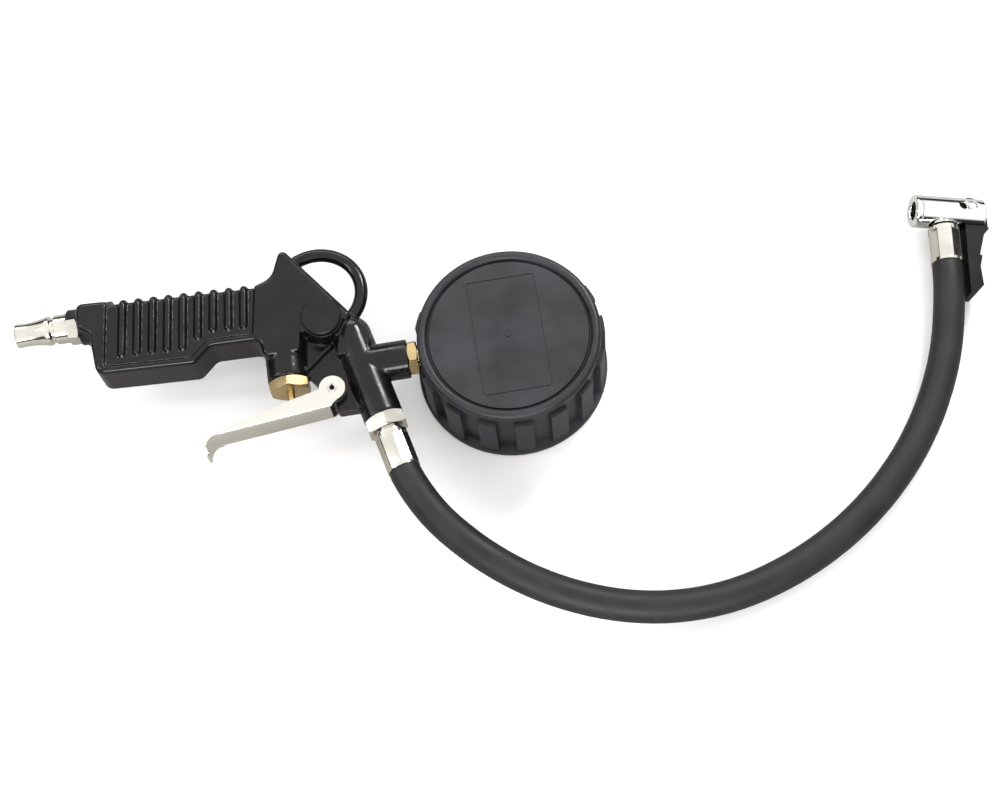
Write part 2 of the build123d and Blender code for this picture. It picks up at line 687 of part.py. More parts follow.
# The movement is stacked from the dial (low) to the Bourdon tube (high).
DIAL_FRONT = 10.4
DIAL_BACK = 11.0
PLATE_FRONT = 12.6       # front movement plate
PLATE_BACK = 22.0        # back movement plate
MOVEMENT_PLATE_T = 1.2
DIAL_SCREWS = [(-6.0, 6.0), (-6.0, -6.0)]
SOCKET_SCREWS = [(-27.0, 3.6), (-27.0, -3.6)]
PILLARS = [(3.0, 5.5), (3.0, -5.5), (-28.5, 0.0)]
PILLAR_R = 1.5
PINION_PITCH_R = GEAR_MODULE * PINION_TEETH / 2
SECTOR_PITCH_R = PINION_PITCH_R * SECTOR_RATIO
SECTOR_PIVOT = (-PINION_PITCH_R - SECTOR_PITCH_R, 0.0)
SHAFT_R = 0.8
STOP_ANGLE = radians(-139.5)
STOP_AT = (22 * cos(STOP_ANGLE), 22 * sin(STOP_ANGLE))


def level(height, at=(0.0, 0.0)):
    """Horizontal plane inside the gauge, with its origin over a point."""
    return Plane(origin=(at[0], at[1], height))


with BuildPart() as dial_plate:
    rod(level(DIAL_FRONT), 32.5, DIAL_BACK - DIAL_FRONT)
    rod(level(DIAL_FRONT), SHAFT_R + 1, 2, mode=Mode.SUBTRACT)
    for place in DIAL_SCREWS:
        rod(level(DIAL_FRONT, place), 1.0, 2, mode=Mode.SUBTRACT)
    rod(level(DIAL_FRONT, STOP_AT), 0.42, 2, mode=Mode.SUBTRACT)
dial_plate.part.label = "dial_plate"
export_step(dial_plate.part, "parts/dial_plate.step")


def screw(place, head_bottom, head_r, head_t, shank_r, shank_len):
    """Small cheese-head screw that points up, with a slot across its head."""
    with BuildPart() as body:
        rod(level(head_bottom, place), head_r, head_t)
        rod(level(head_bottom + head_t, place), shank_r, shank_len)
        with BuildSketch(level(head_bottom, place)) as slot:
            Rectangle(3 * head_r, head_r / 3)
        extrude(slot.sketch, amount=head_t / 2, mode=Mode.SUBTRACT)
    add(body.part)


with BuildPart() as dial_screws:
    for place in DIAL_SCREWS:
        screw(place, DIAL_FRONT - 0.52, 1.5, 0.5, 0.88, 3.6)
dial_screws.part.label = "dial_screws"
export_step(dial_screws.part, "parts/dial_screws.step")

with BuildPart() as pointer_stop:
    rod(level(7.9, STOP_AT), 0.6, DIAL_FRONT - 7.9 - SEAT)
    rod(level(DIAL_FRONT - SEAT, STOP_AT), 0.4, 0.6)
pointer_stop.part.label = "pointer_stop"
export_step(pointer_stop.part, "parts/pointer_stop.step")

# ---------------------------------------------------------------- gauge: movement


def movement_plate(bottom):
    """Plate of the movement with its pivot and screw holes."""
    with BuildPart() as plate:
        with BuildSketch(level(bottom, (-12.5, 0.0))):
            RectangleRounded(38, 17, 3)
        extrude(amount=MOVEMENT_PLATE_T)
        rod(level(bottom - 2), SHAFT_R + SLIP, 5, mode=Mode.SUBTRACT)
        rod(level(bottom - 2, SECTOR_PIVOT), SHAFT_R + SLIP, 5, mode=Mode.SUBTRACT)
    add(plate.part)


with BuildPart() as movement_front_plate:
    movement_plate(PLATE_FRONT)
    for place in DIAL_SCREWS:
        rod(level(DIAL_BACK + SEAT, place), 1.8, PLATE_FRONT - DIAL_BACK)
        rod(level(DIAL_BACK, place), 0.9, 5, mode=Mode.SUBTRACT)
movement_front_plate.part.label = "movement_front_plate"
export_step(movement_front_plate.part, "parts/movement_front_plate.step")

with BuildPart() as movement_back_plate:
    movement_plate(PLATE_BACK)
    for place in SOCKET_SCREWS:
        rod(level(PLATE_BACK, place), 1.0, 5, mode=Mode.SUBTRACT)
movement_back_plate.part.label = "movement_back_plate"
export_step(movement_back_plate.part, "parts/movement_back_plate.step")

PILLAR_START = PLATE_FRONT + MOVEMENT_PLATE_T + SEAT
with BuildPart() as movement_pillars:
    for place in PILLARS:
        rod(level(PILLAR_START, place), PILLAR_R, PLATE_BACK - SEAT - PILLAR_START)
movement_pillars.part.label = "movement_pillars"
export_step(movement_pillars.part, "parts/movement_pillars.step")

with BuildPart() as movement_screws:
    for place in SOCKET_SCREWS:
        screw(place, PLATE_BACK - 1.12, 1.6, 1.1, 0.98, 4.5)
movement_screws.part.label = "movement_screws"
export_step(movement_screws.part, "parts/movement_screws.step")


def tooth(plane, root_r, tip_r, root_half, tip_half, thickness):
    """One straight-sided gear tooth pointing along the plane's X axis."""
    with BuildSketch(plane) as section:
        with BuildLine():
            Polyline(
                (root_r - 0.3, -root_half),
                (tip_r, -tip_half),
                (tip_r, tip_half),
                (root_r - 0.3, root_half),
                close=True,
            )
        make_face()
    extrude(section.sketch, amount=thickness)


PINION_START = 16.4
PINION_T = 2.4
PINION_ROOT_R = 1.9
PINION_TIP_R = 2.72
with BuildPart() as pinion_shaft:
    rod(level(7.9), SHAFT_R, 15.1)
    rod(level(PINION_START), PINION_ROOT_R, PINION_T)
    for index in range(PINION_TEETH):
        turned = level(PINION_START).rotated((0, 0, 360 / PINION_TEETH * index))
        tooth(turned, PINION_ROOT_R, PINION_TIP_R, 0.45, 0.14, PINION_T)
    rod(level(19.4), 1.3, 1.4)
pinion_shaft.part.label = "pinion_shaft"
export_step(pinion_shaft.part, "parts/pinion_shaft.step")

SECTOR_START = 17.0
SECTOR_T = 1.2
SECTOR_FIRST_TOOTH = -7.5
SECTOR_TOOTH_COUNT = 13
SECTOR_TOOTH_PITCH = 360 / PINION_TEETH / SECTOR_RATIO
LINK_START = 18.6
LINK_T = 0.8
LINK_PIN_R = 0.5
LINK_LOW = (-21.9, -2.1)   # link pivot on the sector's tail
LINK_HIGH = (-15.5, 17.5)  # link pin in the tube's tip
TIP_PLATE_TOP = 25.2

with BuildPart() as sector_gear:
    sector_level = level(SECTOR_START, SECTOR_PIVOT)
    root_r = SECTOR_PITCH_R - 1.25 * GEAR_MODULE
    with BuildSketch(sector_level) as blade:
        Circle(root_r)
        with BuildLine():
            half_angle = radians(SECTOR_TOOTH_PITCH * SECTOR_TOOTH_COUNT / 2)
            middle = radians(SECTOR_FIRST_TOOTH + SECTOR_TOOTH_PITCH * (SECTOR_TOOTH_COUNT - 1) / 2)
            reach = 2 * root_r
            Polyline(
                (-0.5, -0.5),
                (reach * cos(middle - half_angle), reach * sin(middle - half_angle)),
                (reach * cos(middle), reach * sin(middle)),
                (reach * cos(middle + half_angle), reach * sin(middle + half_angle)),
                close=True,
            )
        make_face(mode=Mode.INTERSECT)
    extrude(blade.sketch, amount=SECTOR_T)
    rod(sector_level, 2.2, SECTOR_T)
    for index in range(SECTOR_TOOTH_COUNT):
        angle = SECTOR_FIRST_TOOTH + SECTOR_TOOTH_PITCH * index
        tip_r = SECTOR_PITCH_R + GEAR_MODULE * 0.9
        tooth(sector_level.rotated((0, 0, angle)), root_r, tip_r, 0.36, 0.14, SECTOR_T)
    # tail that the link pulls
    tail = Vector(LINK_LOW[0] - SECTOR_PIVOT[0], LINK_LOW[1] - SECTOR_PIVOT[1], 0)
    with BuildSketch(sector_level) as arm:
        with Locations((tail.X / 2, tail.Y / 2)):
            SlotCenterToCenter(tail.length, 2.4, rotation=degrees(atan2(tail.Y, tail.X)))
    extrude(arm.sketch, amount=SECTOR_T)
    rod(level(SECTOR_START, LINK_LOW), LINK_PIN_R, LINK_START + LINK_T - SECTOR_START + 0.2)
    rod(level(12.9, SECTOR_PIVOT), SHAFT_R, 10)
sector_gear.part.label = "sector_gear"
export_step(sector_gear.part, "parts/sector_gear.step")

with BuildPart() as tip_link:
    rise = Vector(LINK_HIGH[0] - LINK_LOW[0], LINK_HIGH[1] - LINK_LOW[1], 0)
    middle = ((LINK_HIGH[0] + LINK_LOW[0]) / 2, (LINK_HIGH[1] + LINK_LOW[1]) / 2)
    with BuildSketch(level(LINK_START, middle)):
        SlotCenterToCenter(rise.length, 2.2, rotation=degrees(atan2(rise.Y, rise.X)))
    extrude(amount=LINK_T)
    rod(level(LINK_START - 1, LINK_LOW), LINK_PIN_R + SLIP, 3, mode=Mode.SUBTRACT)
    rod(level(LINK_START, LINK_HIGH), LINK_PIN_R, TIP_PLATE_TOP - LINK_START - 0.3)
tip_link.part.label = "tip_link"
export_step(tip_link.part, "parts/tip_link.step")

HAIRSPRING_TURNS = 4.5
HAIRSPRING_INNER_R = 1.42
HAIRSPRING_OUTER_R = 4.6
with BuildPart() as hairspring:
    with BuildLine(level(20.1)) as coil:
        steps = int(HAIRSPRING_TURNS * 12)
        points = []
        for step in range(steps + 1):
            radius = HAIRSPRING_INNER_R + (HAIRSPRING_OUTER_R - HAIRSPRING_INNER_R) * step / steps
            angle = radians(30 * step - 30)
            points.append((radius * cos(angle), radius * sin(angle)))
        Spline(*points)
    with BuildSketch(Plane(origin=coil.line @ 0, x_dir=(0, 0, 1), z_dir=coil.line % 0)):
        Rectangle(1.0, 0.2)
    sweep(path=coil.line)
hairspring.part.label = "hairspring"
export_step(hairspring.part, "parts/hairspring.step")

with BuildPart() as pointer:
    rod(level(7.6), 2.2, 1.6)
    slab(
        level(8.5),
        0.6,
        [(-8.0, -1.7, 0.8), (27.0, -0.25, 0.1), (27.0, 0.25, 0.1), (-8.0, 1.7, 0.8)],
    )
    rod(level(7.0), SHAFT_R + SEAT, 3, mode=Mode.SUBTRACT)
pointer_rest = pointer.part.rotate(Axis.Z, -135)
pointer_rest.label = "pointer"
export_step(pointer_rest, "parts/pointer.step")

# ---------------------------------------------------------------- gauge: Bourdon tube, its tip and its socket
BOURDON_R = 25.0
BOURDON_W = 9.0
BOURDON_T = 2.4
BOURDON_WALL = 0.4
BOURDON_START = 190.0
BOURDON_SWEEP = 280.0
TIP_SWEEP = 4.0
LINK_TRAVEL = 4.3        # path of the link's pin over the whole dial
SOCKET_HEX = 14.0
SOCKET_NECK_R = 4.0


def bourdon_arc(start, arc, inset, mode=Mode.ADD):
    """Flattened tube wall bent around the gauge's axis; inset makes it smaller all round."""
    angle = radians(start)
    centre = Vector(BOURDON_R * cos(angle), BOURDON_R * sin(angle), MID)
    across = Plane(origin=centre, x_dir=(0, 0, 1), z_dir=(-sin(angle), cos(angle), 0))
    with BuildSketch(across) as section:
        SlotOverall(BOURDON_W - 2 * inset, BOURDON_T - 2 * inset)
    revolve(section.sketch, axis=Axis.Z, revolution_arc=arc, mode=mode)


with BuildPart() as bourdon_tube:
    bourdon_arc(BOURDON_START, BOURDON_SWEEP, 0)
    bourdon_arc(BOURDON_START, BOURDON_SWEEP, BOURDON_WALL, mode=Mode.SUBTRACT)
bourdon_tube.part.label = "bourdon_tube"
export_step(bourdon_tube.part, "parts/bourdon_tube.step")

TIP_START = BOURDON_START + BOURDON_SWEEP - 360 + 0.1
with BuildPart() as tube_tip:
    bourdon_arc(TIP_START, TIP_SWEEP, 0)
    slab(
        level(TIP_PLATE_TOP - 0.6),
        1.2,
        [
            (-9.2, 23.0, 0.5),
            (-9.2, 25.4, 0.5),
            (-14.0, 24.6, 1.0),
            (-18.4, 23.0, 1.0),
            (-18.4, 15.6, 1.0),
            (-13.2, 15.6, 1.0),
            (-12.6, 21.5, 1.0),
        ],
    )
    # slot that leaves the link's pin room to travel
    with BuildSketch(level(TIP_PLATE_TOP - 2, (LINK_HIGH[0] - 0.2, LINK_HIGH[1] + LINK_TRAVEL / 2))):
        SlotCenterToCenter(LINK_TRAVEL, 1.7, rotation=90)
    extrude(amount=3, mode=Mode.SUBTRACT)
tube_tip.part.label = "tube_tip"
export_step(tube_tip.part, "parts/tube_tip.step")

with BuildPart() as gauge_socket:
    rod(along_x(PORT_END - PORT_THREAD_DEPTH + 0.5), PORT_THREAD_R - SEAT, PORT_THREAD_DEPTH)
    hex_bar(along_x(PORT_END + SEAT), SOCKET_HEX, 4.2, rotation=0)
    rod(along_x(PORT_END + 1), SOCKET_NECK_R, 13)
    with BuildSketch(along_x(-33)) as block:
        with Locations((0, -0.85)):
            Rectangle(12, 10.4)
    extrude(block.sketch, amount=14)
    rod(along_x(PORT_END - PORT_THREAD_DEPTH), 1.5, 33, mode=Mode.SUBTRACT)
    rod(along_y(-4.5, -24.3), 1.0, 4.5, mode=Mode.SUBTRACT)
    for place in SOCKET_SCREWS:
        rod(level(20, place), 1.0, 7, mode=Mode.SUBTRACT)
    bourdon_arc(BOURDON_START, TIP_SWEEP * 4, -SEAT, mode=Mode.SUBTRACT)
gauge_socket.part.label = "gauge_socket"
export_step(gauge_socket.part, "parts/gauge_socket.step")

# ---------------------------------------------------------------- hose and its fittings
BARB_R = HOSE_BORE_R - 0.05
FERRULE_BORE_R = 6.45
CRIMPED_HOSE_R = 6.4
CRIMP_APOTHEM = 6.95
CRIMP_SIDES = 8
FITTING_HEX = 17.0
FITTING_BORE_R = 2.5

with BuildPart() as hose_fitting:
    rod(down_tube(-9), TUBE_THREAD_R - SEAT, 9 + SEAT)
    hex_bar(down_tube(SEAT), FITTING_HEX, 6.4, rotation=0)
    turn(
        down_tube(0),
        (0, 5.0),
        (5.6, 5.0),
        (5.6, 7.0),
        (6.6, 7.4),
        (6.6, 8.1),
        (BARB_R, 8.1),
        (BARB_R, BARB_END - 1),
        (BARB_R - 0.8, BARB_END),
        (0, BARB_END),
    )
    rod(down_tube(-10), FITTING_BORE_R, BARB_END + 11, mode=Mode.SUBTRACT)
hose_fitting.part.label = "hose_fitting"
export_step(hose_fitting.part, "parts/hose_fitting.step")


def ferrule(plane_at, start):
    """Crimped sleeve: a turned tube whose middle is pressed to flat sides."""
    with BuildPart() as sleeve:
        ring(plane_at(start), FERRULE_R, FERRULE_BORE_R, FERRULE_LEN)
        with BuildSketch(plane_at(start + 2)) as crimp:
            Circle(FERRULE_R + 1)
            RegularPolygon(CRIMP_APOTHEM, CRIMP_SIDES, major_radius=False, mode=Mode.SUBTRACT)
        extrude(crimp.sketch, amount=FERRULE_LEN - 3.4, mode=Mode.SUBTRACT)
    add(sleeve.part)


with BuildPart() as gun_ferrule:
    ferrule(down_tube, FERRULE_START)
gun_ferrule.part.label = "gun_ferrule"
export_step(gun_ferrule.part, "parts/gun_ferrule.step")

TAIL_FERRULE_START = 8.8
with BuildPart() as chuck_ferrule:
    ferrule(down_tail, TAIL_FERRULE_START)
chuck_ferrule.part.label = "chuck_ferrule"
export_step(chuck_ferrule.part, "parts/chuck_ferrule.step")

# The free hose droops from the gun's tube to the bench and curves up to the chuck.
HOSE_GAP = 0.1           # the thick part of the hose starts this far past a ferrule
HOSE_START = FERRULE_START + FERRULE_LEN + HOSE_GAP
HOSE_STOP = TAIL_FERRULE_START + FERRULE_LEN + HOSE_GAP
HOSE_POINTS = [
    (-45.41, -71.8, 28.38),
    (26.3, -122.8, 16.21),
    (89.2, -122.4, 9.19),
    (198.3, -10.3, 11.32),
]
with BuildPart() as hose:
    with BuildLine() as path:
        bend = TangentArc(down_tube(HOSE_START).origin, HOSE_POINTS[0], tangent=TUBE_DIR)
        for point in HOSE_POINTS[1:]:
            bend = TangentArc(bend @ 1, point, tangent=bend % 1)
        TangentArc(down_tail(HOSE_STOP).origin, HOSE_POINTS[-1], tangent=-chuck_y)
    wire = path.wire()
    with BuildSketch(Plane(origin=wire @ 0, z_dir=wire % 0)) as section:
        Circle(HOSE_R)
        Circle(HOSE_BORE_R, mode=Mode.SUBTRACT)
    sweep(section.sketch, path=wire)
    for crimp_plane in (down_tube(FERRULE_START), down_tail(TAIL_FERRULE_START)):
        ring(crimp_plane, CRIMPED_HOSE_R, HOSE_BORE_R + SEAT, FERRULE_LEN + 2 * HOSE_GAP)
hose.part.label = "hose"
export_step(hose.part, "parts/hose.step")

# ---------------------------------------------------------------- air chuck
TAIL_R = 4.4
TAIL_GROOVE_R = 4.9      # groove between the collar and the ferrule
TAIL_SEAT = 6.5          # depth of the spot face that the tail's collar sits on
NOSE_BORE_R = 4.2
CHAMBER_START_X = -11.5
CHAMBER_END_X = -4.7
HEAD_FRONT = -6.45       # front face of the plunger's head
NOSE_END = -10.0         # inner end of the nose's shank
CHUCK_CHAMBER_R = 6.25
ROD_R = 4.2
ROD_REAR = 7.75
SLOT_HALF = 3.5
POCKET_R = 6.9
LEVER_PIVOT_R = 1.3
RECESS_FLOOR = 5.0
GASKET_BORE_R = 2.8      # smaller than a tyre valve, which seals against the gasket
WINDOW = (4.4, 4.6)
WINDOW_OFFSET = 4.6      # distance of the window's middle from the lever's pivot

with BuildPart() as chuck_tail:
    turn(
        down_tail(0),
        (0, 5.0),
        (TAIL_R - SEAT, 5.0),
        (TAIL_R - SEAT, TAIL_SEAT + SEAT),
        (6.3, TAIL_SEAT + SEAT),
        (6.3, 7.2),
        (TAIL_GROOVE_R, 7.4),
        (TAIL_GROOVE_R, 8.6),
        (BARB_R, 8.6),
        (BARB_R, BARB_END - 1),
        (BARB_R - 0.8, BARB_END),
        (0, BARB_END),
    )
    rod(down_tail(4), FITTING_BORE_R, BARB_END, mode=Mode.SUBTRACT)
chuck_tail.part.label = "chuck_tail"
export_step(chuck_tail.part, "parts/chuck_tail.step")


def at_cam(height):
    """Plane across the thumb lever's pivot, with its origin on the pivot."""
    place = CHUCK.from_local_coords((CAM_PIVOT[0], CAM_PIVOT[1], height))
    return Plane(origin=place, x_dir=chuck_x, z_dir=CHUCK.z_dir)


with BuildPart() as chuck_body:
    rod(along_chuck(CHAMBER_START_X), CHUCK_R, CHUCK_REAR - CHAMBER_START_X)
    rear_edge = chuck_body.edges().filter_by(GeomType.CIRCLE).sort_by(Axis(CHUCK.origin, chuck_x))[-1]
    chamfer(rear_edge, 0.8)
    rod(along_chuck(CHAMBER_START_X), CHUCK_CHAMBER_R, CHAMBER_END_X - CHAMBER_START_X, mode=Mode.SUBTRACT)
    rod(along_chuck(CHAMBER_END_X), ROD_R + SLIP, CAM_PIVOT[0] - CHAMBER_END_X, mode=Mode.SUBTRACT)
    # slot for the thumb lever: a round pocket for its cam, open to the rear
    rod(at_cam(-SLOT_HALF), POCKET_R, 2 * SLOT_HALF, mode=Mode.SUBTRACT)
    slab(
        chuck_level(0),
        2 * SLOT_HALF,
        [(8.0, 0, 0), (8.0, -9.0, 0), (22.0, -9.0, 0), (22.0, 9.0, 0), (12.5, 9.0, 0), (12.5, 0, 0)],
        mode=Mode.SUBTRACT,
    )
    # hose tail: spot face, threaded hole and air passage
    rod(down_tail(TAIL_SEAT), 6.4, 3, mode=Mode.SUBTRACT)
    rod(down_tail(4.9), TAIL_R, 3, mode=Mode.SUBTRACT)
    rod(down_tail(3), FITTING_BORE_R, 3, mode=Mode.SUBTRACT)
    # pivot pin and the oval recess around its head
    rod(at_cam(-CHUCK_R), LEVER_PIVOT_R + SEAT, 2 * CHUCK_R, mode=Mode.SUBTRACT)
    with BuildSketch(chuck_level(RECESS_FLOOR)) as recess:
        with Locations((CAM_PIVOT[0] - 2.4, CAM_PIVOT[1])):
            SlotOverall(9.4, 4.8)
    extrude(recess.sketch, amount=3, mode=Mode.SUBTRACT)
    # window beside the pin's head, through to the cam's pocket
    with BuildSketch(chuck_level(SLOT_HALF - 0.5)) as window:
        with Locations((CAM_PIVOT[0] - WINDOW_OFFSET, CAM_PIVOT[1])):
            RectangleRounded(WINDOW[0], WINDOW[1], 1.8)
    extrude(window.sketch, amount=3, mode=Mode.SUBTRACT)
chuck_body.part.label = "chuck_body"
export_step(chuck_body.part, "parts/chuck_body.step")

with BuildPart() as chuck_nose:
    turn(
        along_chuck(0),
        (NOSE_BORE_R, CHUCK_MOUTH + 0.6),
        (NOSE_BORE_R + 0.6, CHUCK_MOUTH),
        (CHUCK_R - 0.6, CHUCK_MOUTH),
        (CHUCK_R, CHUCK_MOUTH + 0.6),
        (CHUCK_R, CHAMBER_START_X - 0.1),
        (CHUCK_CHAMBER_R - 0.05, CHAMBER_START_X - 0.1),
        (CHUCK_CHAMBER_R - 0.05, NOSE_END),
        (NOSE_BORE_R, NOSE_END),
    )
chuck_nose.part.label = "chuck_nose"
export_step(chuck_nose.part, "parts/chuck_nose.step")

with BuildPart() as chuck_gasket:
    ring(along_chuck(NOSE_END + 0.2), CHUCK_CHAMBER_R - 0.15, GASKET_BORE_R, HEAD_FRONT - NOSE_END - 0.25)
chuck_gasket.part.label = "chuck_gasket"
export_step(chuck_gasket.part, "parts/chuck_gasket.step")

with BuildPart() as chuck_plunger:
    turn(
        along_chuck(0),
        (0, -9.7),
        (0.5, -9.7),
        (0.9, -9.3),
        (0.9, HEAD_FRONT),
        (CHUCK_CHAMBER_R - 0.1, HEAD_FRONT),
        (CHUCK_CHAMBER_R - 0.1, HEAD_FRONT + 1.6),
        (ROD_R, HEAD_FRONT + 1.6),
        (ROD_R, -1.0),
        (3.0, -1.0),
        (3.0, 2.2),
        (ROD_R, 2.2),
        (ROD_R, 4.0),
        (3.2, 4.0),
        (3.2, 5.8),
        (ROD_R, 5.8),
        (ROD_R, ROD_REAR),
        (0, ROD_REAR),
    )
    for side in (-1, 1):
        place = CHUCK.from_local_coords((HEAD_FRONT, 2.1 * side, 0))
        rod(Plane(origin=place, z_dir=chuck_x), 0.6, 7.2, mode=Mode.SUBTRACT)
    cross_hole = CHUCK.from_local_coords((0.6, -5, 0))
    rod(Plane(origin=cross_hole, z_dir=chuck_y), 0.8, 10, mode=Mode.SUBTRACT)
chuck_plunger.part.label = "chuck_plunger"
export_step(chuck_plunger.part, "parts/chuck_plunger.step")

with BuildPart() as plunger_o_ring:
    ring(along_chuck(4.1), ROD_R + SLIP - 0.01, 3.22, 1.6)
plunger_o_ring.part.label = "plunger_o_ring"
export_step(plunger_o_ring.part, "parts/plunger_o_ring.step")

ARM_R = 11.9             # the arm starts outside this radius, clear of the body
WEB_HALF = 3.3
ARM_HALF = 5.0


def cam_point(angle):
    """Point of the cam's edge; its radius grows as the lever swings open."""
    share = min(1.0, max(0.0, (180 - angle) / CAM_SWING))
    radius = CAM_LOW + CAM_LIFT * share
    return (CAM_PIVOT[0] + radius * cos(radians(angle)), CAM_PIVOT[1] + radius * sin(radians(angle)))


with BuildPart() as thumb_lever:
    with BuildSketch(chuck_level(-WEB_HALF)) as web:
        with BuildLine():
            rise = Spline(*[cam_point(180 - 20 * step) for step in range(5)])
            crown = ThreePointArc(rise @ 1, cam_point(55), cam_point(10))
            Polyline(
                crown @ 1,
                (19.9, 1.0),
                (19.9, -8.0),
                (17.1, -11.2),
                (9.4, -11.6),
                (8.9, -4.0),
                rise @ 0,
            )
        make_face()
    extrude(web.sketch, amount=2 * WEB_HALF)
    with BuildSketch(chuck_level(-ARM_HALF)) as arm:
        with BuildLine():
            Polyline(
                (8.4, -9.0),
                (19.9, -5.0),
                (19.6, -9.0),
                (16.8, -12.3),
                (13.9, -22.6),
                (15.0, -23.1),
                (13.6, -28.6),
                (14.2, -38.0),
                (10.4, -42.0),
                (7.8, -42.2),
                (7.9, -28.0),
                close=True,
            )
        make_face()
        with Locations(CAM_PIVOT):
            Circle(ARM_R, mode=Mode.SUBTRACT)
    extrude(arm.sketch, amount=2 * ARM_HALF)
    rod(at_cam(-2 * ARM_HALF), LEVER_PIVOT_R + SLIP, 4 * ARM_HALF, mode=Mode.SUBTRACT)
thumb_lever.part.label = "thumb_lever"
export_step(thumb_lever.part, "parts/thumb_lever.step")

with BuildPart() as thumb_lever_pin:
    rod(at_cam(-6.8), LEVER_PIVOT_R, 6.8 + RECESS_FLOOR + 0.5)
    rod(at_cam(RECESS_FLOOR + SEAT), 2.0, 1.3)
    fillet(thumb_lever_pin.edges().sort_by(Axis(CHUCK.origin, CHUCK.z_dir))[-1], 0.5)
thumb_lever_pin.part.label = "thumb_lever_pin"
export_step(thumb_lever_pin.part, "parts/thumb_lever_pin.step")
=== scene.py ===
"""Looks of the tyre inflator: materials, cast and rubber pieces, dial print, floor, lights and camera."""

import json
from math import atan2, cos, pi, radians, sin

import bmesh
import bpy
from mathutils import Matrix, Vector


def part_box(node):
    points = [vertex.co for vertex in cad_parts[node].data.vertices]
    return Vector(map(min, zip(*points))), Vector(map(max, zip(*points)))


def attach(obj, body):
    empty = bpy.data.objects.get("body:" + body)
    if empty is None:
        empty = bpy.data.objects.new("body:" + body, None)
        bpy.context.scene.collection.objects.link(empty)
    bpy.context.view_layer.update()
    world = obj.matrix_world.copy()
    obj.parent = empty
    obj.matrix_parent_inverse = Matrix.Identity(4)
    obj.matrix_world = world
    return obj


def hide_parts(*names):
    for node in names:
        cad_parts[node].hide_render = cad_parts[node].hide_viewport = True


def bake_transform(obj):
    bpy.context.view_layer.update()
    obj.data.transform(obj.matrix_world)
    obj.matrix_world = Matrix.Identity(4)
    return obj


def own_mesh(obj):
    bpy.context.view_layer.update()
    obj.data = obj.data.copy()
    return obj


MM = 0.001
WELD_DISTANCE = 0.002 * MM
NORMAL_WEIGHT = 60
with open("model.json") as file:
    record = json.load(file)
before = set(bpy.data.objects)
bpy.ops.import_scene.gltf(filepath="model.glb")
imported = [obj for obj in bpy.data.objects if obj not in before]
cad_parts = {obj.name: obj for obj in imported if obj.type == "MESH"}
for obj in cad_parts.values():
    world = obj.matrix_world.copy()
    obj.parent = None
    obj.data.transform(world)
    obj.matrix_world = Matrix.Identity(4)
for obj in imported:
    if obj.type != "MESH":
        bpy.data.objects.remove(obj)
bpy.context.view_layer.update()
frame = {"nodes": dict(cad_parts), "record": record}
nodes = frame["nodes"]
record = frame["record"]
joints = {joint["name"]: joint for joint in record["behaviour"]["joints"]}
mounts = {mount["name"]: mount for mount in record["mounts"]}
scene = bpy.context.scene


# ---------------------------------------------------------------- materials
GRAIN_STRENGTH = 0.6
PAPER = (0.96, 0.96, 0.96)
PAPER_PATCH = (0.98, 0.98, 0.98)
PAPER_BOUNCE = (0.42, 0.41, 0.39)


def new_material(name):
    """Empty node material with its Principled shader and the object's own coordinates."""
    material = bpy.data.materials.new(name)
    material.use_nodes = True
    tree = material.node_tree
    shader = tree.nodes["Principled BSDF"]
    coords = tree.nodes.new("ShaderNodeTexCoord").outputs["Object"]
    return material, tree, shader, coords


def noise(tree, coords, scale, detail=3.0, stretch=(1, 1, 1)):
    """Noise value at a scale in cells per metre."""
    mapping = tree.nodes.new("ShaderNodeMapping")
    mapping.inputs["Scale"].default_value = stretch
    texture = tree.nodes.new("ShaderNodeTexNoise")
    texture.inputs["Scale"].default_value = scale
    texture.inputs["Detail"].default_value = detail
    tree.links.new(coords, mapping.inputs["Vector"])
    tree.links.new(mapping.outputs["Vector"], texture.inputs["Vector"])
    return texture.outputs["Fac"]


def spread(tree, value, low, high, start=0.3, stop=0.7):
    """Maps a noise value to the range from low to high."""
    node = tree.nodes.new("ShaderNodeMapRange")
    node.inputs["From Min"].default_value = start
    node.inputs["From Max"].default_value = stop
    node.inputs["To Min"].default_value = low
    node.inputs["To Max"].default_value = high
    tree.links.new(value, node.inputs["Value"])
    return node.outputs["Result"]


def mix_colors(tree, factor, first, second):
    """Colour between two others, by a 0 to 1 value."""
    node = tree.nodes.new("ShaderNodeMix")
    node.data_type = "RGBA"
    node.inputs["A"].default_value = (*first, 1)
    node.inputs["B"].default_value = (*second, 1)
    tree.links.new(factor, node.inputs["Factor"])
    return node.outputs["Result"]


def add_bump(tree, shader, height, strength, depth):
    """Bump of a depth in metres."""
    node = tree.nodes.new("ShaderNodeBump")
    node.inputs["Strength"].default_value = strength
    node.inputs["Distance"].default_value = depth
    tree.links.new(height, node.inputs["Height"])
    tree.links.new(node.outputs["Normal"], shader.inputs["Normal"])


def finish(name, dark, light, rough, metal=0.0, patch=90.0, grain=1600.0, depth=0.02,
           stretch=(1, 1, 1), specular=0.5):
    """Material with patchy colour and roughness and a fine grain; depth is the grain's depth in mm."""
    material, tree, shader, coords = new_material(name)
    patches = noise(tree, coords, patch, 4.0, stretch)
    color = mix_colors(tree, spread(tree, patches, 0, 1), dark, light)
    tree.links.new(color, shader.inputs["Base Color"])
    fine = noise(tree, coords, grain, 2.0, stretch)
    roughness = spread(tree, patches, rough[0], rough[1])
    tree.links.new(roughness, shader.inputs["Roughness"])
    add_bump(tree, shader, fine, GRAIN_STRENGTH, depth * MM)
    shader.inputs["Metallic"].default_value = metal
    shader.inputs["Specular IOR Level"].default_value = specular
    return material


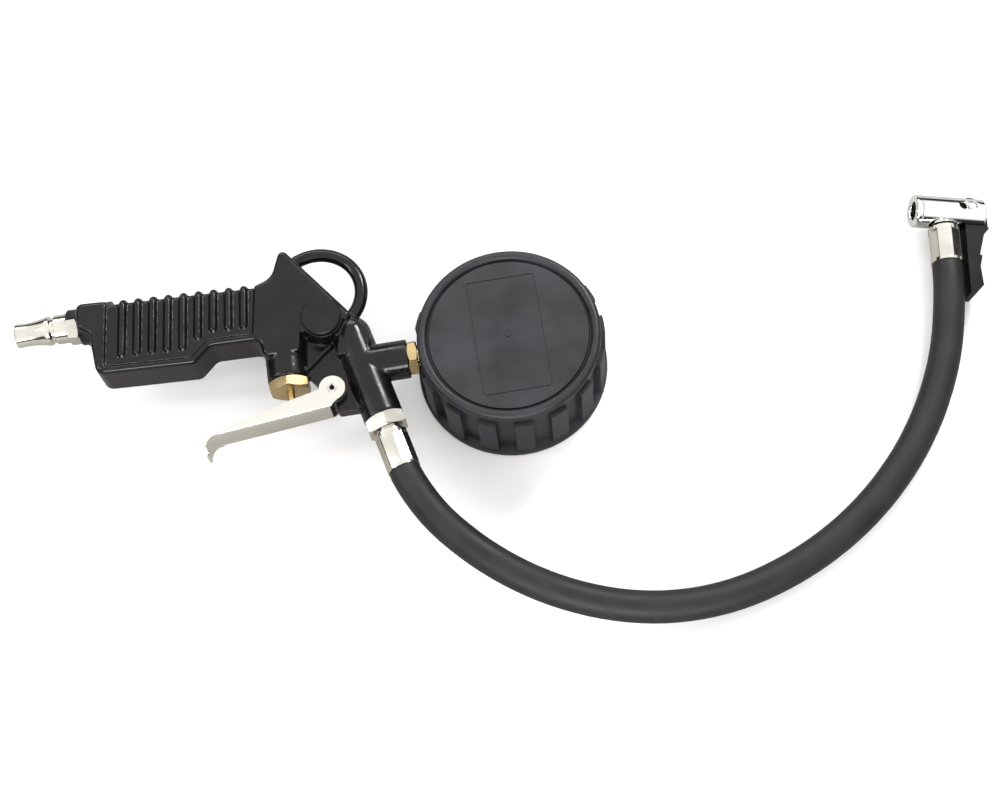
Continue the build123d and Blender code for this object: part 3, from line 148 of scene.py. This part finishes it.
def glass(name):
    """Clear flat glass with faint smudges."""
    material, tree, shader, coords = new_material(name)
    smudge = spread(tree, noise(tree, coords, 60.0, 5.0), 0.01, 0.07)
    tree.links.new(smudge, shader.inputs["Roughness"])
    shader.inputs["Base Color"].default_value = (0.96, 0.98, 0.97, 1)
    shader.inputs["Transmission Weight"].default_value = 1.0
    shader.inputs["IOR"].default_value = 1.49
    return material


def floor_paper(name):
    """Pale paper that throws little light back up, so that bright metal keeps its dark lower bands."""
    material = finish(name, PAPER, PAPER_PATCH, (0.8, 0.9), depth=0.0, patch=3, specular=0.1)
    tree = material.node_tree
    shader = tree.nodes["Principled BSDF"]
    seen = tree.nodes.new("ShaderNodeLightPath").outputs["Is Camera Ray"]
    color = shader.inputs["Base Color"].links[0].from_socket
    mix = tree.nodes.new("ShaderNodeMix")
    mix.data_type = "RGBA"
    mix.inputs["A"].default_value = (*PAPER_BOUNCE, 1)
    tree.links.new(seen, mix.inputs["Factor"])
    tree.links.new(color, mix.inputs["B"])
    tree.links.new(mix.outputs["Result"], shader.inputs["Base Color"])
    return material


def add_mark(material, near, far, amount):
    """Paints light onto a material: scales its colour by an amount near the object's Z axis, fading out
    from near to far.
    """
    tree = material.node_tree
    shader = tree.nodes["Principled BSDF"]
    coords = tree.nodes.new("ShaderNodeTexCoord").outputs["Object"]
    level = tree.nodes.new("ShaderNodeVectorMath")
    level.operation = "MULTIPLY"
    level.inputs[1].default_value = (1, 1, 0)
    length = tree.nodes.new("ShaderNodeVectorMath")
    length.operation = "LENGTH"
    tree.links.new(coords, level.inputs[0])
    tree.links.new(level.outputs["Vector"], length.inputs[0])
    ramp = tree.nodes.new("ShaderNodeMapRange")
    ramp.interpolation_type = "SMOOTHSTEP"
    ramp.inputs["From Min"].default_value = near
    ramp.inputs["From Max"].default_value = far
    ramp.inputs["To Min"].default_value = amount
    ramp.inputs["To Max"].default_value = 1.0
    tree.links.new(length.outputs["Value"], ramp.inputs["Value"])
    color = shader.inputs["Base Color"].links[0].from_socket
    scale = tree.nodes.new("ShaderNodeVectorMath")
    scale.operation = "SCALE"
    tree.links.new(color, scale.inputs[0])
    tree.links.new(ramp.outputs["Result"], scale.inputs["Scale"])
    tree.links.new(scale.outputs["Vector"], shader.inputs["Base Color"])


looks = {
    "cast_black": finish("cast_black", (0.0028, 0.0028, 0.003), (0.0052, 0.0052, 0.0054), (0.11, 0.30),
                         patch=80, grain=420, depth=0.10, specular=0.36),
    "cap_black": finish("cap_black", (0.003, 0.003, 0.003), (0.006, 0.006, 0.006), (0.34, 0.5),
                        grain=900, depth=0.08, specular=0.3),
    "nickel": finish("nickel", (0.64, 0.62, 0.56), (0.78, 0.76, 0.70), (0.08, 0.18), metal=1, depth=0.008),
    "brass": finish("brass", (0.56, 0.42, 0.21), (0.72, 0.56, 0.31), (0.18, 0.34), metal=1, depth=0.01),
    "bright_sheet": finish("bright_sheet", (0.74, 0.725, 0.67), (0.86, 0.845, 0.79), (0.08, 0.16), metal=1,
                           depth=0.008, stretch=(0.2, 1, 1)),
    "steel": finish("steel", (0.50, 0.50, 0.49), (0.66, 0.66, 0.65), (0.2, 0.35), metal=1, depth=0.01),
    "spring_steel": finish("spring_steel", (0.36, 0.36, 0.37), (0.5, 0.5, 0.5), (0.2, 0.35), metal=1),
    "seal_rubber": finish("seal_rubber", (0.010, 0.010, 0.010), (0.018, 0.018, 0.018), (0.45, 0.6)),
    "boot_rubber": finish("boot_rubber", (0.006, 0.0065, 0.0095), (0.025, 0.0257, 0.0325), (0.34, 0.58),
                          patch=38, grain=1500, depth=0.11, specular=0.46),
    "hose_rubber": finish("hose_rubber", (0.006, 0.006, 0.0068), (0.015, 0.015, 0.0162), (0.46, 0.62),
                          patch=60, grain=1500, depth=0.10, specular=0.42),
    "case_steel": finish("case_steel", (0.014, 0.014, 0.015), (0.025, 0.025, 0.026), (0.3, 0.42)),
    "clear_lens": glass("clear_lens"),
    "dial_white": finish("dial_white", (0.80, 0.80, 0.77), (0.86, 0.86, 0.83), (0.35, 0.45), depth=0.005),
    "pointer_black": finish("pointer_black", (0.015, 0.015, 0.015), (0.025, 0.025, 0.025), (0.3, 0.4)),
    "chrome": finish("chrome", (0.84, 0.84, 0.85), (0.90, 0.90, 0.91), (0.03, 0.08), metal=1, depth=0.004),
    "black_plastic": finish("black_plastic", (0.003, 0.003, 0.0033), (0.006, 0.006, 0.0063), (0.30, 0.44),
                            grain=1800, depth=0.03, specular=0.2),
    "seat_plastic": finish("seat_plastic", (0.6, 0.58, 0.54), (0.7, 0.68, 0.63), (0.4, 0.5)),
}
# Painted light: the boot rubber is lightened near the gauge axis, standing in for the shading of the boot
# back's shallow central dish.
DISH_LIGHT_NEAR = 4 * MM
DISH_LIGHT_FAR = 17 * MM
DISH_LIGHT_AMOUNT = 1.5
add_mark(looks["boot_rubber"], DISH_LIGHT_NEAR, DISH_LIGHT_FAR, DISH_LIGHT_AMOUNT)


def paint(piece, slot):
    """Gives a piece one material from the record's slot of that name."""
    piece.data.materials.clear()
    piece.data.materials.append(looks[slot])


# ---------------------------------------------------------------- carried-over CAD nodes
# widths of the rounded edges, in mm
DEFAULT_EDGE = 0.25
EDGE_ANGLE = radians(38)
EDGE_WIDTH = {
    "trigger_lever": 0.2, "thumb_lever": 0.5, "boss_cap": 0.3, "chuck_body": 0.35, "chuck_nose": 0.3,
    "gauge_case": 0.3, "lens_ring": 0.3, "pointer": 0.08, "hairspring": 0.02, "pinion_shaft": 0.05,
    "sector_gear": 0.05, "gauge_lens": 0.2, "dial_plate": 0.1, "valve_spring": 0.0,
    "bourdon_tube": 0.0, "gland_o_ring": 0.0, "valve_stem": 0.15, "trigger_pin": 0.12,
}


def clear_normals(piece):
    """Drops the imported normals, so that modifiers can make new ones."""
    bpy.context.view_layer.objects.active = piece
    bpy.ops.mesh.customdata_custom_splitnormals_clear()


def soften_edges(piece, width):
    """Rounds a piece's sharp edges a little and gives it clean shading."""
    clear_normals(piece)
    piece.data.shade_smooth()
    weld = piece.modifiers.new("weld", "WELD")
    weld.merge_threshold = WELD_DISTANCE
    if width > 0:
        bevel = piece.modifiers.new("edges", "BEVEL")
        bevel.width = width
        bevel.segments = 2
        bevel.limit_method = "ANGLE"
        bevel.angle_limit = EDGE_ANGLE
    normals = piece.modifiers.new("normals", "WEIGHTED_NORMAL")
    normals.weight = NORMAL_WEIGHT
    normals.keep_sharp = False


REPLACED = ("gun_body", "gauge_boot", "hose", "chuck_gasket", "boss_cap_seal")
slot_of = {part["node"]: part["material_slot"] for part in record["subparts"]}
for name, node in sorted(nodes.items()):
    if name in REPLACED:
        continue
    paint(node, slot_of[name])
    soften_edges(node, EDGE_WIDTH.get(name, DEFAULT_EDGE) * MM)


def new_piece(name, mesh, body, slot, *replaced):
    """Puts a mesh into the scene as a piece of the object."""
    piece = bpy.data.objects.new(name, mesh)
    scene.collection.objects.link(piece)
    paint(piece, slot)
    if replaced:
        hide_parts(*replaced)
    if body:
        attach(piece, body)
    return piece


def mesh_from(name, build):
    """Mesh made by a function that fills a bmesh."""
    work = bmesh.new()
    build(work)
    bmesh.ops.recalc_face_normals(work, faces=work.faces)
    mesh = bpy.data.meshes.new(name)
    work.to_mesh(mesh)
    work.free()
    mesh.shade_smooth()
    return mesh


def apply_modifiers(piece):
    """Makes the result of a piece's modifiers its own mesh."""
    graph = bpy.context.evaluated_depsgraph_get()
    result = bpy.data.meshes.new_from_object(piece.evaluated_get(graph), depsgraph=graph)
    piece.modifiers.clear()
    piece.data = result


# ---------------------------------------------------------------- gun body: rounded like a painted casting
CAST_VOXEL = 0.5 * MM
PAINT_SMOOTHING = 3


def cast_body():
    """Copy of the body with its edges rounded off by casting, tumbling and thick paint."""
    piece = new_piece("gun_casting", nodes["gun_body"].data.copy(), "gun", "cast_black", "gun_body")
    clear_normals(piece)
    weld = piece.modifiers.new("weld", "WELD")
    weld.merge_threshold = WELD_DISTANCE
    remesh = piece.modifiers.new("skin", "REMESH")
    remesh.mode = "VOXEL"
    remesh.voxel_size = CAST_VOXEL
    smooth = piece.modifiers.new("paint", "SMOOTH")
    smooth.factor = 0.5
    smooth.iterations = PAINT_SMOOTHING
    apply_modifiers(piece)
    piece.data.shade_smooth()


cast_body()


# ---------------------------------------------------------------- rubber boot
BOOT_ROUND = 0.5 * MM
BOOT_EDGE_ANGLE = radians(35)
FLAT_ANGLE = radians(1.5)


def rubber_boot():
    """Boot with moulded, rounded edges."""
    mesh = nodes["gauge_boot"].data.copy()
    work = bmesh.new()
    work.from_mesh(mesh)
    bmesh.ops.remove_doubles(work, verts=work.verts, dist=WELD_DISTANCE)
    bmesh.ops.dissolve_limit(work, angle_limit=FLAT_ANGLE, verts=work.verts, edges=work.edges)
    bmesh.ops.triangulate(work, faces=[face for face in work.faces if len(face.verts) > 4])
    work.to_mesh(mesh)
    work.free()
    piece = new_piece("rubber_boot", mesh, "gun", "boot_rubber", "gauge_boot")
    clear_normals(piece)
    mesh.shade_smooth()
    bevel = piece.modifiers.new("moulded", "BEVEL")
    bevel.width = BOOT_ROUND
    bevel.segments = 3
    bevel.limit_method = "ANGLE"
    bevel.angle_limit = BOOT_EDGE_ANGLE
    normals = piece.modifiers.new("normals", "WEIGHTED_NORMAL")
    normals.weight = NORMAL_WEIGHT


rubber_boot()


# ---------------------------------------------------------------- hose
HOSE_R = 7.0 * MM
CRIMPED_R = 6.38 * MM
HOSE_BORE_R = 4.0 * MM
HOSE_STATIONS = 72
HOSE_AROUND = 56
HOSE_OVAL = 0.012
FERRULE_GRIP = 8.85 * MM
PATH_INSET = radians(6)
PATH_CUTS = 24


def box_centre(name):
    """Centre of a CAD node's box."""
    low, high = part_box(name)
    return (Vector(low) + Vector(high)) / 2


def section_centre(mesh, pivot, angle):
    """Centre of the hose where a vertical half-plane from the pivot cuts it."""
    outward = Vector((cos(angle), sin(angle), 0))
    normal = Vector((-sin(angle), cos(angle), 0))
    work = bmesh.new()
    work.from_mesh(mesh)
    cut = bmesh.ops.bisect_plane(work, geom=work.verts[:] + work.edges[:] + work.faces[:],
                                 plane_co=pivot, plane_no=normal)
    points = [item.co.copy() for item in cut["geom_cut"]
              if isinstance(item, bmesh.types.BMVert) and (item.co - pivot).dot(outward) > 0]
    work.free()
    low = Vector([min(point[axis] for point in points) for axis in range(3)])
    high = Vector([max(point[axis] for point in points) for axis in range(3)])
    return (low + high) / 2


def hose_path():
    """Centre line of the free hose, from one ferrule to the other."""
    pivot = Vector(joints["hose_bend"]["pos_m"])
    pivot.z = 0
    first = box_centre("gun_ferrule")
    last = box_centre("chuck_ferrule")
    start = atan2(first.y - pivot.y, first.x - pivot.x)
    stop = atan2(last.y - pivot.y, last.x - pivot.x) + 2 * pi
    mesh = nodes["hose"].data
    middle = []
    for step in range(PATH_CUTS + 1):
        angle = start + PATH_INSET + (stop - start - 2 * PATH_INSET) * step / PATH_CUTS
        middle.append(section_centre(mesh, pivot, angle))
    return [first] + middle + [last]


def smooth_curve(points, count):
    """Evenly spaced points on a smooth curve through the given ones."""
    lengths = [0.0]
    for before, after in zip(points, points[1:]):
        lengths.append(lengths[-1] + (after - before).length)
    tangents = []
    for index in range(len(points)):
        before = points[max(index - 1, 0)]
        after = points[min(index + 1, len(points) - 1)]
        span = lengths[min(index + 1, len(points) - 1)] - lengths[max(index - 1, 0)]
        tangents.append((after - before) / span)
    result = []
    for step in range(count + 1):
        along = lengths[-1] * step / count
        index = max(i for i in range(len(points) - 1) if lengths[i] <= along)
        span = lengths[index + 1] - lengths[index]
        t = (along - lengths[index]) / span
        a, b = points[index], points[index + 1]
        ta, tb = tangents[index] * span, tangents[index + 1] * span
        result.append((2 * t**3 - 3 * t**2 + 1) * a + (t**3 - 2 * t**2 + t) * ta
                      + (3 * t**2 - 2 * t**3) * b + (t**3 - t**2) * tb)
    return result, lengths[-1]


def rubber_hose():
    """Hose skin swept along its path, a little ovalled by its bend, thinner where the ferrules grip it."""
    stations, length = smooth_curve(hose_path(), HOSE_STATIONS)

    def build(work):
        outer, inner = [], []
        count = len(stations)
        for index, centre in enumerate(stations):
            along = (stations[min(index + 1, count - 1)] - stations[max(index - 1, 0)]).normalized()
            side = along.cross(Vector((0, 0, 1))).normalized()
            up = side.cross(along).normalized()
            travelled = length * index / (count - 1)
            gripped = min(travelled, length - travelled) < FERRULE_GRIP
            radius = CRIMPED_R if gripped else HOSE_R
            oval = HOSE_OVAL * sin(pi * index / (count - 1))
            for ring, size in ((outer, radius), (inner, HOSE_BORE_R)):
                ring.append([
                    work.verts.new(centre + side * cos(2 * pi * k / HOSE_AROUND) * size * (1 + oval)
                                   + up * sin(2 * pi * k / HOSE_AROUND) * size * (1 - oval))
                    for k in range(HOSE_AROUND)])
        for ring in (outer, inner):
            for before, after in zip(ring, ring[1:]):
                for k in range(HOSE_AROUND):
                    work.faces.new((before[k], before[k - 1], after[k - 1], after[k]))
        for end in (0, -1):
            for k in range(HOSE_AROUND):
                work.faces.new((outer[end][k], outer[end][k - 1], inner[end][k - 1], inner[end][k]))

    piece = new_piece("rubber_hose", mesh_from("rubber_hose", build), None, "hose_rubber", "hose")
    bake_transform(piece)


rubber_hose()


# ---------------------------------------------------------------- rubber rings
RING_AROUND = 64
RIM_ROUND = 0.25 * MM
GASKET_OUTER_R = 6.0 * MM
GASKET_INNER_R = 2.85 * MM
GASKET_HALF = 1.6 * MM
SEAL_OUTER_R = 8.0 * MM
SEAL_INNER_R = 6.45 * MM
SEAL_HALF = 0.28 * MM
SEAL_BULGE = 0.05 * MM


def bulged_ring(name, node, axis, body, outer_r, inner_r, half_length, bulge):
    """Rubber ring with rounded rims that bulges a little outwards, centred on a CAD node."""
    centre = box_centre(node)
    turn = Vector((0, 0, 1)).rotation_difference(axis.normalized()).to_matrix()
    edge = half_length - RIM_ROUND
    profile = [
        (inner_r, -edge), (inner_r + RIM_ROUND, -half_length), (outer_r - RIM_ROUND, -half_length),
        (outer_r, -edge), (outer_r + bulge, 0), (outer_r, edge),
        (outer_r - RIM_ROUND, half_length), (inner_r + RIM_ROUND, half_length), (inner_r, edge),
        (inner_r - bulge, 0)]

    def build(work):
        rings = []
        for k in range(RING_AROUND):
            angle = 2 * pi * k / RING_AROUND
            rings.append([work.verts.new(centre + turn @ Vector((r * cos(angle), r * sin(angle), h)))
                          for r, h in profile])
        for k in range(RING_AROUND):
            for j in range(len(profile)):
                work.faces.new((rings[k - 1][j - 1], rings[k - 1][j], rings[k][j], rings[k][j - 1]))

    piece = new_piece(name, mesh_from(name, build), body, "seal_rubber", node)
    surface = piece.modifiers.new("round", "SUBSURF")
    surface.levels = surface.render_levels = 1
    return piece


chuck_axis = -Vector(mounts["chuck_mouth"]["axis"])
gasket = bulged_ring("chuck_gasket_ring", "chuck_gasket", chuck_axis, "chuck",
                     GASKET_OUTER_R, GASKET_INNER_R, GASKET_HALF, 0.0)
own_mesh(gasket)
bulged_ring("cap_seal_ring", "boss_cap_seal", Vector((0, 0, 1)), "gun",
            SEAL_OUTER_R, SEAL_INNER_R, SEAL_HALF, SEAL_BULGE)


# ---------------------------------------------------------------- dial print
DIAL_TOP_BAR = 12
DIAL_SWEEP = joints["needle_turn"]["range_deg"][1]
DIAL_START = -DIAL_SWEEP / 2
PRINT_R = 30.5 * MM
PRINT_LIFT = 0.02 * MM
MINOR_STEPS = 5
MAJOR_TICK = (4.2 * MM, 0.7 * MM)
MINOR_TICK = (2.2 * MM, 0.3 * MM)
ARC_WIDTH = 0.4 * MM
ARC_STEPS = 90
FIGURE_EVERY = 2
FIGURE_SIZE = 4.2 * MM
FIGURE_INSET = 7.4 * MM
UNIT_R = 16 * MM


def dial_angle(value):
    """Direction of a dial value, in radians from +X."""
    return radians(DIAL_START + DIAL_SWEEP * value / DIAL_TOP_BAR)


def dial_print():
    """Scale arc, ticks and figures, printed on the dial's face; read from below with +X up."""
    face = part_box("dial_plate")[0][2] - PRINT_LIFT

    def bar(work, angle, inner, outer, width):
        along = Vector((cos(angle), sin(angle), 0))
        side = Vector((-sin(angle), cos(angle), 0)) * width / 2
        corners = [along * inner - side, along * outer - side, along * outer + side, along * inner + side]
        work.faces.new([work.verts.new(corner + Vector((0, 0, face))) for corner in corners])

    def build(work):
        for step in range(DIAL_TOP_BAR * MINOR_STEPS + 1):
            angle = dial_angle(step / MINOR_STEPS)
            tick_length, tick_width = MINOR_TICK if step % MINOR_STEPS else MAJOR_TICK
            bar(work, angle, PRINT_R - tick_length, PRINT_R, tick_width)
        arc_r = PRINT_R + ARC_WIDTH
        for step in range(ARC_STEPS):
            start = dial_angle(DIAL_TOP_BAR * step / ARC_STEPS)
            stop = dial_angle(DIAL_TOP_BAR * (step + 1) / ARC_STEPS)
            corners = [(PRINT_R, start), (arc_r, start), (arc_r, stop), (PRINT_R, stop)]
            work.faces.new([work.verts.new((r * cos(a), r * sin(a), face)) for r, a in corners])

    new_piece("dial_scale", mesh_from("dial_scale", build), "gun", "pointer_black")
    read = Matrix(((0, 1, 0), (1, 0, 0), (0, 0, -1))).to_4x4()
    labels = [(str(value), dial_angle(value), PRINT_R - FIGURE_INSET)
              for value in range(0, DIAL_TOP_BAR + 1, FIGURE_EVERY)]
    labels.append(("bar", pi, UNIT_R))
    for index, (words, angle, radius) in enumerate(labels):
        curve = bpy.data.curves.new("figure", "FONT")
        curve.body = words
        curve.size = FIGURE_SIZE
        curve.align_x = curve.align_y = "CENTER"
        text = bpy.data.objects.new("figure", curve)
        scene.collection.objects.link(text)
        bpy.context.view_layer.update()
        mesh = bpy.data.meshes.new_from_object(text)
        bpy.data.objects.remove(text)
        place = Matrix.Translation((radius * cos(angle), radius * sin(angle), face))
        mesh.transform(place @ read)
        new_piece(f"dial_figure_{index}", mesh, "gun", "pointer_black")


dial_print()

# ---------------------------------------------------------------- floor, lights and camera
FLOOR_HALF = 4
floor_mesh = mesh_from(
    "floor", lambda work: bmesh.ops.create_grid(work, x_segments=1, y_segments=1, size=FLOOR_HALF))
floor = bpy.data.objects.new("floor", floor_mesh)
scene.collection.objects.link(floor)
floor_mesh.materials.append(floor_paper("floor"))


def softbox(name, place, aim, size, watts):
    """Rectangular area light of a size in metres, pointed at a place."""
    lamp = bpy.data.lights.new(name, "AREA")
    lamp.shape = "RECTANGLE"
    lamp.size, lamp.size_y = size
    lamp.energy = watts
    light = bpy.data.objects.new(name, lamp)
    light.location = place
    light.rotation_euler = (Vector(aim) - Vector(place)).to_track_quat("-Z", "Y").to_euler()
    scene.collection.objects.link(light)


softbox("key", (0.75, 0.85, 1.0), (0.0, -0.03, 0.0), (0.3, 0.3), 9)
softbox("back", (-0.1, 1.15, 0.75), (-0.1, 0.0, 0.03), (0.9, 0.12), 4)
softbox("front", (-0.15, -1.15, 0.55), (0.0, -0.03, 0.0), (1.2, 0.3), 13)
softbox("left", (-1.1, 0.1, 0.8), (0.0, 0.0, 0.0), (0.12, 0.7), 3)



def studio_world(dark_until, bright_from, strength):
    """Sky that is dark below one height of view and bright above another."""
    world = bpy.data.worlds.new("studio")
    scene.world = world
    world.use_nodes = True
    tree = world.node_tree
    direction = tree.nodes.new("ShaderNodeTexCoord").outputs["Generated"]
    split = tree.nodes.new("ShaderNodeSeparateXYZ")
    ramp = tree.nodes.new("ShaderNodeValToRGB")
    tree.links.new(direction, split.inputs["Vector"])
    tree.links.new(split.outputs["Z"], ramp.inputs["Fac"])
    dark, bright = ramp.color_ramp.elements
    dark.position = dark_until
    dark.color = (0.03, 0.03, 0.032, 1)
    bright.position = bright_from
    bright.color = (1.0, 0.99, 0.97, 1)
    tree.links.new(ramp.outputs["Color"], tree.nodes["Background"].inputs["Color"])
    tree.nodes["Background"].inputs["Strength"].default_value = strength


studio_world(0.30, 0.47, 1.2)

CAMERA_PLACE = Vector((-9.8, -340.3, 777.1)) * MM
CAMERA_FORWARD = Vector((0.0015, 0.386, -0.923)).normalized()
CAMERA_UP = Vector((0.161, 0.910, 0.381))
CAMERA_LENS = 66.6
CAMERA_SENSOR = 36


def add_camera():
    """The scene's camera, at the place and angle given above."""
    right = CAMERA_FORWARD.cross(CAMERA_UP).normalized()
    up = right.cross(CAMERA_FORWARD)
    turn = Matrix((right, up, -CAMERA_FORWARD)).transposed().to_4x4()
    data = bpy.data.cameras.new("camera")
    data.lens = CAMERA_LENS
    data.sensor_width = CAMERA_SENSOR
    camera = bpy.data.objects.new("camera", data)
    camera.matrix_world = Matrix.Translation(CAMERA_PLACE) @ turn
    scene.collection.objects.link(camera)
    scene.camera = camera


add_camera()
scene.view_settings.view_transform = "Standard"
